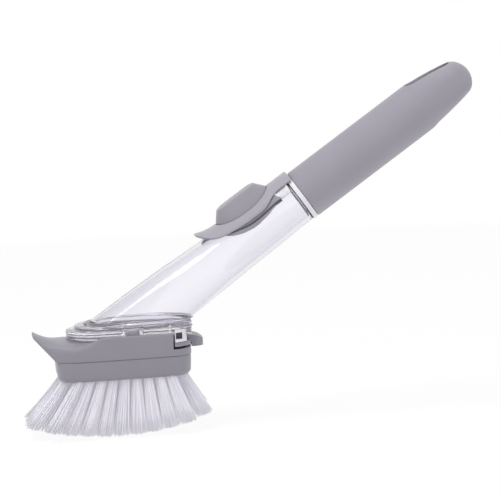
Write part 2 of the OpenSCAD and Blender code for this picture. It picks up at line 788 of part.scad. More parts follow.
reservoir_tube();
reservoir_foot();
outlet_valve();
valve_retainer();
pump_diaphragm();
pump_bezel();
push_button();
neck_seal();
handle_socket();
handle_core();
handle_grip();
head_carrier();
brush_block();
tuft_row(0);  // tuft_row_1
tuft_row(1);  // tuft_row_2
tuft_row(2);  // tuft_row_3
tuft_row(3);  // tuft_row_4
tuft_row(4);  // tuft_row_5
tuft_row(5);  // tuft_row_6
tuft_row(6);  // tuft_row_7
tuft_anchors();
release_tab();
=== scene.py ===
"""Soap dispensing dish wand: looks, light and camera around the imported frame."""

import math

import bmesh
import bpy
import numpy as np
from mathutils import Matrix, Vector


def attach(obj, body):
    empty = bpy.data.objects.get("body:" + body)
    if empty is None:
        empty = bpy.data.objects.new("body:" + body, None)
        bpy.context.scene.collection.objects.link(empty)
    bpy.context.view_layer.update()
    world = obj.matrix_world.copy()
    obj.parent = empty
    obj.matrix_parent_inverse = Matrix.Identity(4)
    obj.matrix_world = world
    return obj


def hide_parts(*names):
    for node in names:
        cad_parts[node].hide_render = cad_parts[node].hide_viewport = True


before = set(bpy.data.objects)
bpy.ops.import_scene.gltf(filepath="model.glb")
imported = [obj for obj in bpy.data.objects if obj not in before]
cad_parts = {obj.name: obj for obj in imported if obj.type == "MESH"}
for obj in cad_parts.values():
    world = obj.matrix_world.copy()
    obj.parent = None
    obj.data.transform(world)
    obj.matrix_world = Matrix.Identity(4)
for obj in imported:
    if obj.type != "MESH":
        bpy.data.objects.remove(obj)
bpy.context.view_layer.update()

MM = 0.001

# Places in the part's frame, mm
TILT = math.radians(33.7)
COS, SIN = math.cos(TILT), math.sin(TILT)
NECK_X, NECK_Z = 112.6, 127.4
HEAD_X, HEAD_L, HEAD_W, HEAD_CORNER = 4.7, 77.0, 50.0, 13.0
SIDE_BULGE = 1.6
BRISTLE_H, BLOCK_H = 30.9, 12.4
SEAM_Z = BRISTLE_H + BLOCK_H
RIM_Z = SEAM_Z + 13.0
DECK_Z = RIM_Z - 2.0
FOOT_Z = DECK_Z + 0.2
FLANGE_Z = FOOT_Z + 4.5
BASE_Z = FLANGE_Z + 2.6
BASE_X, BASE_L, BASE_W = 14.9, 60.2, 34.4
FRONT_X, REAR_X = HEAD_X - HEAD_L / 2, HEAD_X + HEAD_L / 2
TIP_X = FRONT_X - 12.0
OUTLET_X = 11.05


def along(s, y, n):
    """A point by its distance up the handle's axis, to the side, and above the axis."""
    return Vector((NECK_X + s * COS - n * SIN, y, NECK_Z + s * SIN + n * COS)) * MM


def at(x, y, z):
    """A point by its coordinates in the part's frame."""
    return Vector((x, y, z)) * MM


def smooth(t):
    """Rises from 0 to 1 with a soft start and a soft end."""
    t = min(1.0, max(0.0, t))
    return t * t * (3 - 2 * t)


def curve_through(points):
    """A smooth function through (x, value) pairs, flat outside them."""
    xs = np.array([p[0] for p in points], float)
    ys = np.array([p[1] for p in points], float)
    slope = np.gradient(ys, xs)

    def value(x):
        x = float(np.clip(x, xs[0], xs[-1]))
        i = int(np.clip(np.searchsorted(xs, x) - 1, 0, len(xs) - 2))
        h = xs[i + 1] - xs[i]
        t = (x - xs[i]) / h
        return float(
            (1 + 2 * t) * (1 - t) ** 2 * ys[i]
            + t * (1 - t) ** 2 * h * slope[i]
            + t * t * (3 - 2 * t) * ys[i + 1]
            + t * t * (t - 1) * h * slope[i + 1]
        )

    return value


# Outlines


def rounded(x0, x1, width, r0, r1, steps=14):
    """Outline of a rectangle whose two ends have their own corner radius, anticlockwise."""
    half = width / 2
    r0, r1 = min(r0, half - 0.01), min(r1, half - 0.01)
    corners = [
        (x1 - r1, -half + r1, r1, -90),
        (x1 - r1, half - r1, r1, 0),
        (x0 + r0, half - r0, r0, 90),
        (x0 + r0, -half + r0, r0, 180),
    ]
    points = []
    for cx, cy, r, start in corners:
        for k in range(steps + 1):
            a = math.radians(start + 90 * k / steps)
            points.append((cx + r * math.cos(a), cy + r * math.sin(a)))
    return points


def dense(points, gap=0.5):
    """The same closed outline with points no further apart than gap."""
    out = []
    for (ax, ay), (bx, by) in zip(points, points[1:] + points[:1]):
        n = max(1, int(math.hypot(bx - ax, by - ay) / gap))
        out += [(ax + (bx - ax) * k / n, ay + (by - ay) * k / n) for k in range(n)]
    return out


def spokes(points, centre, count):
    """Where each of count even directions from centre meets the outline."""
    p = np.array(dense(points)) - np.array(centre)
    angle = np.arctan2(p[:, 1], p[:, 0])
    order = np.argsort(angle)
    angle, reach = angle[order], np.hypot(p[:, 0], p[:, 1])[order]
    angle = np.concatenate([angle - 2 * math.pi, angle, angle + 2 * math.pi])
    reach = np.tile(reach, 3)
    ring = []
    for k in range(count):
        a = -math.pi + 2 * math.pi * k / count
        r = float(np.interp(a, angle, reach))
        ring.append((centre[0] + r * math.cos(a), centre[1] + r * math.sin(a)))
    return ring


def inset(ring, by):
    """The ring moved inwards along its own normals."""
    out = []
    n = len(ring)
    for k in range(n):
        (ax, ay), (bx, by_) = ring[k - 1], ring[(k + 1) % n]
        tx, ty = bx - ax, by_ - ay
        length = math.hypot(tx, ty) or 1.0
        out.append((ring[k][0] - by * ty / length, ring[k][1] + by * tx / length))
    return out


def mix(a, b, t):
    """Each point of a, moved the share t of its way to b's."""
    return [tuple(p + (q - p) * t for p, q in zip(u, v)) for u, v in zip(a, b)]


def head_outline(grow=0.0):
    """Plan of the brush head: round corners, and sides that bulge a little."""
    corner = HEAD_CORNER + grow
    points = rounded(FRONT_X - grow, REAR_X + grow, HEAD_W + 2 * grow, corner, corner)
    out = []
    for x, y in dense(points):
        limit = HEAD_W / 2 + grow - SIDE_BULGE * ((x - HEAD_X) / (HEAD_L / 2)) ** 2
        out.append((x, max(-limit, min(limit, y))))
    return out


# Meshes


def soften(mesh, sharp):
    """Smooth shading, apart from edges that turn by more than sharp degrees."""
    for p in mesh.polygons:
        p.use_smooth = True
    mesh.set_sharp_from_angle(angle=math.radians(sharp))


def object_of(name, bm, sharp=35):
    """An object in the scene with the mesh that bm holds."""
    bmesh.ops.recalc_face_normals(bm, faces=bm.faces)
    mesh = bpy.data.meshes.new(name)
    bm.to_mesh(mesh)
    bm.free()
    soften(mesh, sharp)
    obj = bpy.data.objects.new(name, mesh)
    bpy.context.scene.collection.objects.link(obj)
    return obj


def skin(bm, rings, loop=False):
    """Faces between successive rings of points. With loop, the last ring joins the first.

    Without it, the first and the last ring are closed by a face each.
    """
    made = [[bm.verts.new(p) for p in ring] for ring in rings]
    n = len(made[0])
    pairs = list(zip(made, made[1:]))
    if loop:
        pairs.append((made[-1], made[0]))
    for a, b in pairs:
        for k in range(n):
            j = (k + 1) % n
            bm.faces.new((a[k], a[j], b[j], b[k]))
    if not loop:
        bm.faces.new(reversed(made[0]))
        bm.faces.new(made[-1])
    return made


def solid(name, rings, loop=False, sharp=35):
    """An object whose skin runs through the rings."""
    bm = bmesh.new()
    skin(bm, rings, loop)
    return object_of(name, bm, sharp)


def carve(obj, *tools, sharp=35):
    """obj with each tool's volume taken out of it."""
    for tool in tools:
        cut = obj.modifiers.new("carve", "BOOLEAN")
        cut.operation, cut.solver, cut.object = "DIFFERENCE", "EXACT", tool
    deps = bpy.context.evaluated_depsgraph_get()
    mesh = bpy.data.meshes.new_from_object(obj.evaluated_get(deps))
    obj.modifiers.clear()
    obj.data = mesh
    soften(mesh, sharp)
    for tool in tools:
        bpy.data.objects.remove(tool)
    return obj


def box_mesh(lo, hi):
    """A box between two opposite corners, in millimetres."""
    bm = bmesh.new()
    bmesh.ops.create_cube(bm, size=1)
    for v in bm.verts:
        v.co = Vector([(l + h) / 2 + c * (h - l) for l, h, c in zip(lo, hi, v.co)]) * MM
    return bm


def box_tool(lo, hi):
    return object_of("tool", box_mesh(lo, hi))


def bevelled_box(name, lo, hi, bevel):
    """A box with rounded edges."""
    bm = box_mesh(lo, hi)
    bmesh.ops.bevel(
        bm, geom=bm.edges[:], offset=bevel * MM, segments=3, profile=0.5, affect="EDGES"
    )
    return object_of(name, bm)


# Materials


def colour(code):
    """Linear colour from an sRGB hex code."""
    parts = [int(code[i : i + 2], 16) / 255 for i in (1, 3, 5)]
    return tuple(
        c / 12.92 if c <= 0.04045 else ((c + 0.055) / 1.055) ** 2.4 for c in parts
    ) + (1.0,)


def add(tree, kind, links=(), **settings):
    """A node with its settings; links are (input name, node, output name)."""
    node = tree.nodes.new(kind)
    for key, value in settings.items():
        if hasattr(node, key):
            setattr(node, key, value)
        else:
            node.inputs[key.replace("_", " ")].default_value = value
    for socket, source, output in links:
        tree.links.new(source.outputs[output], node.inputs[socket])
    return node


def material(name, **shader):
    """A new material with its principled shader's own values set."""
    m = bpy.data.materials.new(name)
    m.use_nodes = True
    tree = m.node_tree
    p = tree.nodes["Principled BSDF"]
    for key, value in shader.items():
        p.inputs[key.replace("_", " ")].default_value = value
    return m, tree, p


CLOUD_MM = 22  # size of the faint cloudiness in a moulded surface
GLOSS_SPREAD = 0.06  # how far the mould's grain moves the roughness up and down
# a Mix node's colour sockets, by number because its names repeat for each kind of value
MIX_A, MIX_B, MIX_RESULT = 6, 7, 2


def moulded(name, shade, dark, rough, grain_mm, depth_mm, **shader):
    """A moulded plastic or rubber: a mould texture of that grain, and slight cloudiness."""
    m, tree, p = material(name, Roughness=rough, **shader)
    place = add(tree, "ShaderNodeNewGeometry")
    grain = add(
        tree,
        "ShaderNodeTexNoise",
        [("Vector", place, "Position")],
        Scale=1 / (grain_mm * MM),
        Detail=3.0,
    )
    cloud = add(
        tree,
        "ShaderNodeTexNoise",
        [("Vector", place, "Position")],
        Scale=1 / (CLOUD_MM * MM),
        Detail=2.0,
    )
    tint = add(tree, "ShaderNodeMix", [("Factor", cloud, "Fac")], data_type="RGBA")
    tint.inputs[MIX_A].default_value = colour(dark)
    tint.inputs[MIX_B].default_value = colour(shade)
    tree.links.new(tint.outputs[MIX_RESULT], p.inputs["Base Color"])
    gloss = add(
        tree,
        "ShaderNodeMapRange",
        [("Value", grain, "Fac")],
        To_Min=rough - GLOSS_SPREAD,
        To_Max=rough + GLOSS_SPREAD,
    )
    tree.links.new(gloss.outputs["Result"], p.inputs["Roughness"])
    bump = add(
        tree,
        "ShaderNodeBump",
        [("Height", grain, "Fac")],
        Strength=0.35,
        Distance=depth_mm * MM,
    )
    tree.links.new(bump.outputs["Normal"], p.inputs["Normal"])
    return m


# thermoplastic rubber, soft-touch moulded: no clear highlight, a faint bloom at the edges
soft_grip = moulded(
    "soft_touch_rubber", "#9b97a2", "#95919c", 0.55, 0.5, 0.03,
    Sheen_Weight=0.15, Sheen_Roughness=0.5,
)
# ABS, fine spark-eroded mould finish: an even grey with a broad soft highlight
head_abs = moulded("moulded_abs", "#8f8c96", "#88858f", 0.34, 0.4, 0.015)
# ABS, smoother mould: a paler grey, and less texture in the highlight of the button's frame
bezel_abs = moulded("smooth_moulded_abs", "#a6a2ac", "#a09ca6", 0.34, 0.6, 0.012)
# rubber-coated button: satin, a little darker than its frame
button_rubber = moulded("button_rubber", "#9a969f", "#938f98", 0.38, 0.4, 0.015)
# silicone rubber, grey and slightly glossy: thin highlights along its bead
gasket_silicone = moulded("gasket_silicone", "#96929c", "#8c8892", 0.3, 0.8, 0.02)
# painted shade, nearly black: the dark lines at the tube's end and along the gasket, and the floors
# of the lugs' recesses, where only shade falls
painted_shade = moulded("painted_dark_shade", "#4a4852", "#44424c", 0.35, 0.8, 0.01)
# polypropylene, natural: pale inner parts that only show when it is taken apart
inner_pp = moulded("pale_polypropylene", "#cfcdd4", "#c8c6ce", 0.4, 0.6, 0.02)
# brass strip, drawn: the anchors deep in the tuft holes
anchor_brass, _, _ = material(
    "drawn_brass_strip", Base_Color=colour("#c9a86a"), Metallic=1.0, Roughness=0.35
)


def clear(name, tint, edge, rough, grain_mm, depth_mm, milk=0.0):
    """A clear moulding: bends light as its resin does, with flow ripples in its skin.

    Where the wall is seen edge on, the tint turns to edge. Milk is the share of the surface that
    scatters light instead of letting it through.
    """
    m, tree, p = material(name, Transmission_Weight=1.0 - milk, IOR=1.49, Roughness=rough)
    slant = add(tree, "ShaderNodeLayerWeight", Blend=0.35)
    shade = add(tree, "ShaderNodeMix", [("Factor", slant, "Facing")], data_type="RGBA")
    shade.inputs[MIX_A].default_value = colour(tint)
    shade.inputs[MIX_B].default_value = colour(edge)
    tree.links.new(shade.outputs[MIX_RESULT], p.inputs["Base Color"])
    place = add(tree, "ShaderNodeNewGeometry")
    flow = add(
        tree,
        "ShaderNodeTexNoise",
        [("Vector", place, "Position")],
        Scale=1 / (grain_mm * MM),
        Detail=1.0,
    )
    bump = add(
        tree,
        "ShaderNodeBump",
        [("Height", flow, "Fac")],
        Strength=0.4,
        Distance=depth_mm * MM,
    )
    tree.links.new(bump.outputs["Normal"], p.inputs["Normal"])
    return m


# clear styrene-acrylonitrile, polished mould: nearly invisible, greyer where it is seen edge on
clear_tube = clear("clear_san_polished", "#f9f8fc", "#c6c4ce", 0.02, 14, 0.04)
# the same resin in the thick foot: strong flow ripples break its reflections up, and a little
# milk softens them
clear_foot = clear("clear_san_foot", "#fcf9ff", "#f1edfc", 0.02, 2.5, 0.3, milk=0.13)
# the same resin, satin, in the neck's ring, the pad and the lugs: mostly milk, so they look white
clear_neck = clear("clear_san_neck", "#fbfaff", "#e6e4ec", 0.25, 5, 0.03, milk=0.8)
# silicone, natural: milky and satin, drawn opaque because so little of the valve shows
milky_silicone = moulded("milky_silicone", "#e3e2e8", "#dcdbe2", 0.35, 0.8, 0.01)


def bristle_nylon():
    """Nylon 6 monofilament, extruded: white with a lilac cast, each filament a little different.

    Half of the light goes through each filament. The light that wanders on between them, which
    is more than the renderer's few bounces follow, is given as a faint glow of the same tint.
    """
    m, tree, p = material(
        "nylon_monofilament",
        Roughness=0.6,
        Specular_IOR_Level=0.2,
        Emission_Color=colour("#ecebf1"),
        Emission_Strength=0.155,
    )
    info = add(tree, "ShaderNodeAttribute", attribute_name="filament")
    tint = add(tree, "ShaderNodeMix", [("Factor", info, "Fac")], data_type="RGBA")
    tint.inputs[MIX_A].default_value = colour("#f0eff4")
    tint.inputs[MIX_B].default_value = colour("#fcfbfd")
    tree.links.new(tint.outputs[MIX_RESULT], p.inputs["Base Color"])
    through = add(tree, "ShaderNodeBsdfTranslucent")
    tree.links.new(tint.outputs[MIX_RESULT], through.inputs["Color"])
    both = add(tree, "ShaderNodeMixShader", [(1, p, "BSDF"), (2, through, "BSDF")])
    both.inputs[0].default_value = 0.5
    tree.links.new(both.outputs[0], tree.nodes["Material Output"].inputs["Surface"])
    return m


nylon = bristle_nylon()


def dress(obj, mat):
    """obj takes this material alone."""
    obj.data.materials.clear()
    obj.data.materials.append(mat)
    return obj


def piece(obj, body, mat, slot, *nodes):
    """obj takes its material, rides on its body, and stands for the nodes named. The slot is not
    used.
    """
    dress(obj, mat)
    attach(obj, body)
    if nodes:
        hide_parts(*nodes)
    return obj


# Reservoir tube

TURN = 128  # points round each ring of the tube and of the grip
TUBE_WALL = 2.2


def round_section(s, radius, drop):
    """Circle across the axis, starting under it and turning towards +Y."""
    ring = []
    for k in range(TURN):
        a = 2 * math.pi * k / TURN
        ring.append(along(s, radius * math.sin(a), -drop - radius * math.cos(a)))
    return ring


def base_section(z, less):
    """Oval of the base at height z, its points matched to round_section's."""
    ring = []
    for k in range(TURN):
        a = 2 * math.pi * k / TURN
        ring.append(
            at(BASE_X + (BASE_L / 2 - less) * math.cos(a), (BASE_W / 2 - less) * math.sin(a), z)
        )
    return ring


BELLY_S = -65.2  # below it the round tube turns into the oval base
BELLY_RINGS = 24
BELLY_CROWN = 0.5  # how far the upper side swells there, above straight lines
tube_radius = curve_through(
    [(BELLY_S, 15.3), (-47.2, 15.05), (-31.2, 14.8), (-12.2, 14.4), (-3.7, 14.3)]
)
# how far the tube's middle lies below the handle's axis
tube_drop = curve_through([(BELLY_S, 0.9), (-47.2, 0.6), (-23.2, 0.3), (-12.2, 0.05), (-3.7, 0.0)])


def tube_walls(less, s_first):
    """Rings down the tube from near the neck to the base, less in from the outer skin."""
    rings = [
        round_section(s, tube_radius(s) - less, tube_drop(s))
        for s in np.linspace(s_first, BELLY_S, 14)
    ]
    top, foot = rings[-1], base_section(BASE_Z, less)
    for k in range(1, BELLY_RINGS + 1):
        t = k / BELLY_RINGS
        crown = BELLY_CROWN * MM * math.sin(math.pi * t) ** 2
        ring = []
        for j in range(TURN):
            p = top[j].lerp(foot[j], t)
            side = Vector((-SIN, 0, COS)) * -math.cos(2 * math.pi * j / TURN)
            ring.append(p + side * crown * (1 if side.z > 0 else 0))
        rings.append(ring)
    return rings


def make_tube():
    """The tube as one closed skin: inside upwards, over the neck's end, outside down."""
    outer = tube_walls(0, -3.9)
    inner = tube_walls(TUBE_WALL, -4.9)
    profile = [  # cone into the bore, the neck's end, then outwards and down to the tube's skin
        (-4.7, 11.8), (-0.2, 8.7), (6.0, 8.7), (11.3, 8.7), (11.5, 8.9), (11.5, 10.8),
        (11.2, 11.1), (5.0, 11.1), (0.0, 11.1), (-2.9, 11.1), (-3.1, 13.2), (-3.5, 13.3),
        (-3.7, 14.1),
    ]
    neck = [round_section(s, r, 0) for s, r in profile]
    rings = list(reversed(inner)) + neck + outer
    return solid("reservoir_tube_clear", rings, loop=True, sharp=40)


tube = piece(make_tube(), "reservoir", clear_tube, "clear_plastic", "reservoir_tube")


def make_neck_ring():
    """Ring round the neck that the handle's front stops against."""
    profile = [
        (-0.25, 11.2), (-0.2, 14.45), (-0.28, 14.65), (-0.5, 14.78), (-1.5, 14.8), (-2.6, 14.78),
        (-2.82, 14.65), (-2.9, 14.45), (-2.85, 11.2),
    ]
    rings = [round_section(s, r, 0) for s, r in profile]
    return solid("neck_ring", rings, loop=True)


piece(make_neck_ring(), "reservoir", clear_neck, "clear_plastic")
# painted shade: a thin dark ring in the groove at the neck, where the clear walls show a dark line
groove = solid(
    "neck_groove_painted_shade",
    [round_section(s, r, 0)
     for s, r in ((-3.55, 12.6), (-3.5, 14.25), (-2.95, 14.35), (-2.92, 12.6))],
    loop=True,
)
piece(groove, "reservoir", painted_shade, "clear_plastic")


# Reservoir foot

SPOKES = 240  # points round each ring of the foot
FOOT_CENTRE = (OUTLET_X, 0.0)


def flange_outline():
    """Plan of the foot's flange: round in front, nearly square at its rear."""
    return rounded(BASE_X - BASE_L / 2 - 11.6, BASE_X + BASE_L / 2 - 1, 40.4, 20.2, 4)


def step_outline():
    """Plan of the step on the flange."""
    return rounded(BASE_X - BASE_L / 2 - 6.5, BASE_X + BASE_L / 2 - 0.5, 37.2, 18.6, 6)


def base_outline(less):
    """Plan of the tube's oval base, drawn in by less."""
    points = []
    for k in range(160):
        a = 2 * math.pi * k / 160
        points.append(
            (BASE_X + (BASE_L / 2 - less) * math.cos(a), (BASE_W / 2 - less) * math.sin(a))
        )
    return points


def round_outline(radius):
    """Circle round the outlet."""
    angles = [2 * math.pi * k / 96 for k in range(96)]
    return [(OUTLET_X + radius * math.cos(a), radius * math.sin(a)) for a in angles]


def level(ring, z):
    """The plan's points at height z."""
    return [at(x, y, z) for x, y in ring]


def make_foot():
    """The foot as one closed skin, from its seat's underside outwards, up and back to the outlet."""
    flange = spokes(flange_outline(), FOOT_CENTRE, SPOKES)
    step = spokes(step_outline(), FOOT_CENTRE, SPOKES)
    tank = spokes(base_outline(2.8), FOOT_CENTRE, SPOKES)
    base = spokes(base_outline(-0.4), FOOT_CENTRE, SPOKES)
    seat = spokes(round_outline(6.2), FOOT_CENTRE, SPOKES)
    hole = spokes(round_outline(4.2), FOOT_CENTRE, SPOKES)
    rim = spokes(round_outline(7.7), FOOT_CENTRE, SPOKES)
    oval = mix(tank, rim, 0.3)
    rings = [
        level(seat, FOOT_Z),
        level(inset(flange, 0.8), FOOT_Z),
        level(inset(flange, 0.25), FOOT_Z + 0.25),
        level(flange, FOOT_Z + 0.8),
        level(inset(flange, 0.35), FOOT_Z + 2.0),
        level(flange, FLANGE_Z - 0.8),
        level(inset(flange, 0.25), FLANGE_Z - 0.2),
        level(inset(flange, 0.8), FLANGE_Z),
        level(inset(step, -0.3), FLANGE_Z),
        level(step, FLANGE_Z + 0.3),
        level(step, BASE_Z - 0.7),
        level(inset(step, 0.25), BASE_Z - 0.2),
        level(inset(step, 0.8), BASE_Z - 0.02),
        level(base, BASE_Z - 0.02),
        level(tank, BASE_Z - 0.02),
        level(inset(tank, 0.1), FLANGE_Z + 0.8),
        level(inset(tank, 0.8), FLANGE_Z + 0.1),
        level(oval, FLANGE_Z),
        level(inset(oval, 0.5), FLANGE_Z + 0.9),
        level(inset(oval, 1.3), FLANGE_Z + 0.9),
        level(inset(oval, 1.8), FLANGE_Z),
        level(rim, FLANGE_Z),
        level(rim, FLANGE_Z + 1.0),
        level(inset(rim, 0.3), FLANGE_Z + 1.2),
        level(inset(rim, 1.3), FLANGE_Z + 1.2),
        level(seat, FLANGE_Z + 1.0),
        level(seat, FLANGE_Z),
        level(hole, FLANGE_Z - 0.1),
        level(hole, FOOT_Z + 3.2),
        level(seat, FOOT_Z + 3.2),
    ]
    return solid("reservoir_foot_clear", rings, loop=True, sharp=30)


piece(make_foot(), "reservoir", clear_foot, "clear_foot", "reservoir_foot")


def make_bead():
    """Rounded bead of the joint all round the tube's base."""
    levels = (
        (-0.5, 0.0), (-1.1, 0.1), (-1.3, 0.5), (-1.1, 1.0), (-0.5, 1.3), (0.3, 1.3), (0.5, 0.0)
    )
    rings = [
        level(spokes(base_outline(less), (BASE_X, 0.0), SPOKES), BASE_Z + up) for less, up in levels
    ]
    return solid("foot_bead", rings, loop=True)


piece(make_bead(), "reservoir", clear_foot, "clear_foot")


CAVITY_Z = DECK_Z - 1.5  # underside of the carrier's deck
LIP_H = 1.3
RAIL_Z = CAVITY_Z - 0.2 - LIP_H
RAIL_X0, RAIL_X1 = -15.2, 29.0


def make_rail(side, name):
    """Rail under the foot: an upright web with a lip that hooks outwards under the deck."""
    for part, inner, outer, top in (
        ("foot_rail_", 12.0, 14.0, FOOT_Z + 0.05),
        ("foot_lip_", 13.9, 16.2, RAIL_Z + LIP_H),
    ):
        y0, y1 = sorted((side * inner, side * outer))
        bar = bevelled_box(part + name, (RAIL_X0, y0, RAIL_Z), (RAIL_X1, y1, top), 0.3)
        piece(bar, "reservoir", clear_foot, "clear_foot")


make_rail(1, "far")
make_rail(-1, "near")


TAB_FRONT_X = REAR_X - 10.2
TAB_TOP_Z = SEAM_Z + 7.5
LUG_INNER_Y = 19.3
RECESS = 3.8  # length and height of the lug's recess


def make_lug(side, name):
    """Clear lug in the carrier's open corner, with a square recess in its outer face."""
    outer = sorted(
        (x, y)
        for x, y in head_outline(-0.3)
        if side * y >= LUG_INNER_Y and TAB_FRONT_X + 0.4 <= x <= TAB_FRONT_X + 8.8
    )
    ring = [(outer[0][0], side * LUG_INNER_Y)] + outer + [(outer[-1][0], side * LUG_INNER_Y)]
    if side < 0:
        ring.reverse()
    low, high = TAB_TOP_Z + 0.3, FLANGE_Z - 1.0
    bm = bmesh.new()
    skin(bm, [level(ring, low), level(ring, high)])
    lug = object_of("foot_lug_" + name, bm)
    x0, z0 = TAB_FRONT_X + 1.1, low + 1.7
    x1, z1 = x0 + RECESS, z0 + RECESS
    y0, y1 = sorted((side * 20.2, side * 30.0))
    carve(lug, box_tool((x0, y0, z0), (x1, y1, z1)))
    piece(lug, "reservoir", clear_neck, "clear_foot")
    # painted shade: a dark floor in the recess, where the carrier's inside lies in shadow
    y0, y1 = sorted((side * 19.6, side * 20.35))
    floor = bevelled_box("lug_recess_" + name, (x0, y0, z0), (x1, y1, z1), 0.1)
    piece(floor, "reservoir", painted_shade, "clear_foot")


make_lug(1, "far")
make_lug(-1, "near")


# Pump

LEAF_CENTRE = (-31.7, 0.0)
LEAF = 240  # points round each ring of the pump's pieces
BEZEL_TOP, BEZEL_UNDER = 16.9, 15.5  # radii round the handle's axis


def leaf_outline(points):
    """Closed outline from (s, half width) pairs that run from the nose to the tail."""
    return [(s, -w) for s, w in points] + list(reversed(points))


BEZEL_EDGE = leaf_outline(
    [(-63.2, 0.0), (-63.0, 2.8), (-62.3, 5.2), (-61.0, 7.4), (-59.2, 9.3), (-57.0, 10.9),
     (-54.6, 12.1), (-52.0, 12.85), (-49.0, 13.35), (-45.0, 13.8), (-40.0, 14.2), (-35.0, 14.45),
     (-29.2, 14.5), (-24.5, 14.45), (-22.0, 14.25), (-19.5, 13.8), (-17.0, 12.95),
     (-14.5, 12.0), (-12.4, 11.4), (-10.2, 11.05), (-7.5, 11.0), (-0.9, 10.95), (-0.45, 10.5),
     (-0.4, 0.0)]
)
GASKET_EDGE = leaf_outline(
    [(-53.0, 0.0), (-52.8, 6.0), (-51.6, 9.2), (-49.4, 11.4), (-47.3, 12.6), (-44.9, 13.4),
     (-42.0, 13.95), (-39.5, 14.25), (-36.0, 14.45), (-32.9, 14.5), (-29.2, 14.5), (-25.3, 14.4),
     (-21.3, 14.2), (-19.0, 13.9), (-15.2, 13.6), (-12.0, 13.5), (-11.2, 12.0), (-11.0, 9.0),
     (-11.0, 0.0)]
)
# how far to the side the painted shadow line runs along the gasket
gasket_line = curve_through(
    [(-47.6, 11.8), (-42.3, 12.9), (-37.8, 13.55), (-34.6, 13.8), (-31.2, 13.9), (-27.6, 13.9),
     (-23.8, 13.8), (-19.9, 13.6), (-16.5, 13.4), (-12.0, 13.35)]
)
BUTTON_L, BUTTON_W, BUTTON_TOP = 35.5, 20.3, 23.3
BUTTON_POWER = 2.4  # roundness of the button's plan, 2 is an ellipse


def signed_power(value, power):
    """The power of the value's size, with the value's own sign."""
    return math.copysign(abs(value) ** power, value)


def button_outline(grow=0.0):
    """Plan of the button, a squarish oval."""
    half_l, half_w = BUTTON_L / 2 + grow, BUTTON_W / 2 + grow
    points = []
    for k in range(160):
        a = 2 * math.pi * k / 160
        s = LEAF_CENTRE[0] + half_l * signed_power(math.cos(a), 2 / BUTTON_POWER)
        points.append((s, half_w * signed_power(math.sin(a), 2 / BUTTON_POWER)))
    return points


LIP_RISE, LIP_FROM, LIP_L = 3.1, -50, 13.2


def lip(s):
    """Rise of the bezel's front into a finger lip."""
    return LIP_RISE * max(0.0, (LIP_FROM - s) / LIP_L) ** 2.2


def blade(s):
    """Rise of the lip's underside, a little less than its top's."""
    return 0.85 * lip(s)


def over_tube(ring, radius, rise=None, drawn_at=BEZEL_TOP):
    """The ring, drawn at one radius round the axis, laid on another along the same rays."""
    points = []
    for s, y in ring:
        side = y * radius / drawn_at
        n = math.sqrt(max(radius * radius - side * side, 0.0))
        points.append(along(s, side, n + (rise(s) if rise else 0.0)))
    return points


def laid(ring, radius):
    """The ring laid at the same radius round the axis that it is drawn at."""
    return over_tube(ring, radius, drawn_at=radius)


def make_bezel():
    """Frame round the button, bent over the tube, its nose raised into the lip."""
    edge = spokes(BEZEL_EDGE, LEAF_CENTRE, LEAF)
    hole = spokes(button_outline(0.3), LEAF_CENTRE, LEAF)
    under, top = BEZEL_UNDER, BEZEL_TOP
    rings = [
        over_tube(inset(edge, 0.35), under, blade),
        over_tube(inset(edge, 0.05), under + 0.25, blade),
        over_tube(edge, under + 0.5, blade),
        over_tube(inset(edge, 0.05), top - 0.45, lip),
        over_tube(inset(edge, 0.3), top - 0.12, lip),
        over_tube(inset(edge, 0.8), top, lip),
        over_tube(mix(edge, hole, 0.4), top + 0.05, lip),
        over_tube(mix(edge, hole, 0.7), top, lip),
        over_tube(inset(hole, -0.6), top, lip),
        over_tube(inset(hole, -0.2), top - 0.1, lip),
        over_tube(hole, top - 0.4, lip),
        over_tube(hole, under, blade),
        over_tube(mix(edge, hole, 0.6), under, blade),
    ]
    return solid("pump_bezel_frame", rings, loop=True)


piece(make_bezel(), "reservoir", bezel_abs, "bezel_plastic", "pump_bezel")


def make_gasket():
    """Gasket that shows under the bezel: a thin lip, a bead, and a well for the button."""
    edge = spokes(GASKET_EDGE, LEAF_CENTRE, LEAF)
    lip_and_bead = [
        (0.2, 14.85), (0.0, 15.05), (0.12, 15.22), (0.35, 15.28), (0.9, 15.28), (1.1, 15.38),
        (1.6, 15.42), (2.5, 15.42),
    ]
    well = spokes(button_outline(0.6), LEAF_CENTRE, LEAF)
    wall = inset(well, -0.8)
    middle = mix(well, [LEAF_CENTRE] * LEAF, 0.95)
    floor, under = 12.7, 12.0
    rings = [laid(inset(edge, less), radius) for less, radius in lip_and_bead]
    rings += [
        laid(mix(inset(edge, 2.5), well, 0.7), 15.4), laid(well, 15.4), laid(well, floor),
        laid(middle, floor), laid(middle, under), laid(wall, under), laid(wall, 14.85),
    ]
    return solid("pump_gasket", rings, loop=True)


piece(make_gasket(), "reservoir", gasket_silicone, "gasket_rubber", "pump_diaphragm")


def make_gasket_line(side, name):
    """Painted shadow in the gap between the gasket's lip and its bead, on one side: a thin dark
    strip.
    """
    rings = []
    for s in np.linspace(-48.0, -11.4, 60):
        w = gasket_line(s)
        corners = [(w - 0.2, 15.38), (w + 0.2, 15.36), (w + 0.2, 14.95), (w - 0.2, 14.95)]
        rings.append([along(s, side * y, math.sqrt(r * r - y * y)) for y, r in corners])
    line = solid("gasket_line_" + name, rings)
    piece(line, "reservoir", painted_shade, "gasket_rubber")


make_gasket_line(1, "far")
make_gasket_line(-1, "near")

# the tube's opening under the button, whose edge lies inside the wall of the gasket's well
opening = spokes(button_outline(1.0), LEAF_CENTRE, LEAF)
plug = solid("tool", [[along(s, y, n) for s, y in opening] for n in (5.5, 18)])
carve(tube, plug, sharp=40)


